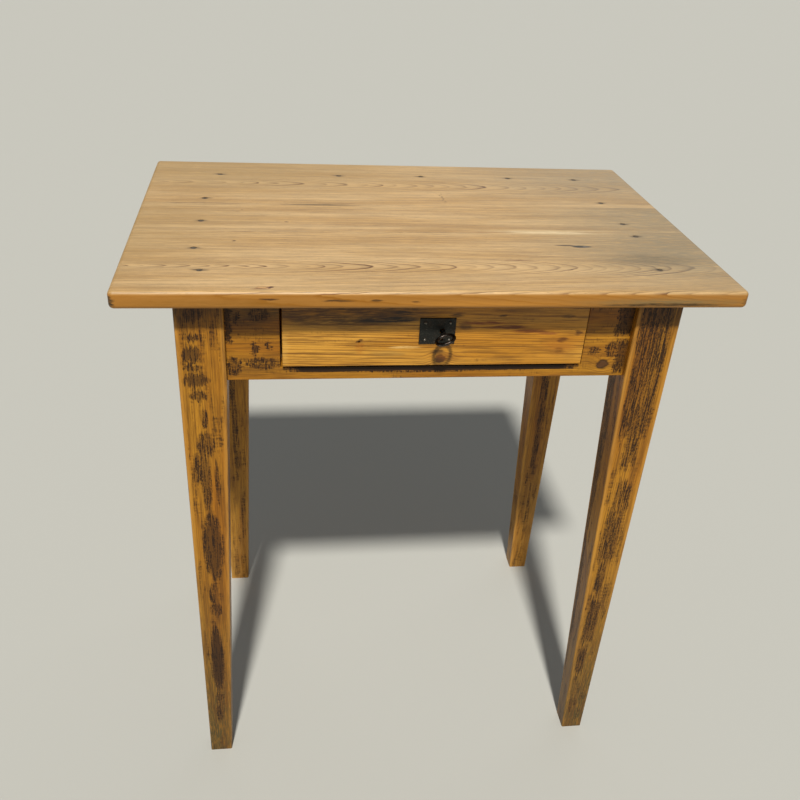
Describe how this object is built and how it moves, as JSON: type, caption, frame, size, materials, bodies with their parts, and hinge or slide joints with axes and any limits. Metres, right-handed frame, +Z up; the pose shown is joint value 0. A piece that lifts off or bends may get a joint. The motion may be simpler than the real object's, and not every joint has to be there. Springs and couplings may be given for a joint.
{
  "type": "side table with drawer",
  "caption": "Small rectangular pine side table on tapered legs, with a locking drawer in its front apron and a key in the lock.",
  "frame": {"origin": "on the floor, under the middle of the table top", "axes": "+Z up, the longest extent; +X to the right along the long side of the top; +Y to the back, the shortest extent; the drawer opens towards -Y"},
  "size_m": [0.6819, 0.4463, 0.75],
  "materials": {
    "top_pine": "old pine, sanded and waxed, dark nail stains",
    "leg_pine": "old pine, scraped and oiled, dark remains of paint in the grain",
    "apron_pine": "old pine, scraped and oiled",
    "drawer_front_pine": "old pine, scraped and oiled",
    "inner_pine": "bare pine, planed and aged",
    "nail_iron": "hand-forged, rusted dark",
    "plate_iron": "sheet iron, blackened",
    "plate_nail_steel": "steel, worn bright on top",
    "lock_iron": "sheet iron, dull",
    "key_steel": "steel, tarnished dark with worn bright edges"
  },
  "bodies": {
    "frame": {"top_board_front": "top_pine", "top_board_middle": "top_pine", "top_board_back": "top_pine", "top_nails": "nail_iron", "front_left_leg": "leg_pine", "front_right_leg": "leg_pine", "back_left_leg": "leg_pine", "back_right_leg": "leg_pine", "front_apron": "apron_pine", "back_apron": "apron_pine", "left_apron": "apron_pine", "right_apron": "apron_pine", "left_runner": "inner_pine", "right_runner": "inner_pine", "left_guide": "inner_pine", "right_guide": "inner_pine", "guide_nails": "nail_iron"},
    "drawer": {"drawer_front": "drawer_front_pine", "drawer_left_side": "inner_pine", "drawer_right_side": "inner_pine", "drawer_back": "inner_pine", "drawer_bottom_front": "inner_pine", "drawer_bottom_back": "inner_pine", "drawer_bottom_nails": "nail_iron", "keyhole_plate": "plate_iron", "keyhole_plate_nails": "plate_nail_steel", "lock_case": "lock_iron", "lock_cap": "lock_iron", "lock_screws": "lock_iron"},
    "key": {"key": "key_steel"},
    "bolt": {"lock_bolt": "lock_iron"}
  },
  "joints": [
    {"name": "drawer_slide", "type": "slide", "parent": "frame", "child": "drawer", "axis": [0, -1, 0], "range_m": [0, 0.26]},
    {"name": "key_turn", "type": "hinge", "parent": "drawer", "child": "key", "pos_m": [0.008, -0.18, 0.6886], "axis": [0, 1, 0], "range_deg": [0, 50]},
    {"name": "bolt_throw", "type": "slide", "parent": "drawer", "child": "bolt", "axis": [0, 0, 1], "range_m": [0, 0.0066]}
  ],
  "couplings": [
    {"joint": "bolt_throw", "follows": "key_turn", "m_per_rad": 0.00756}
  ]
}
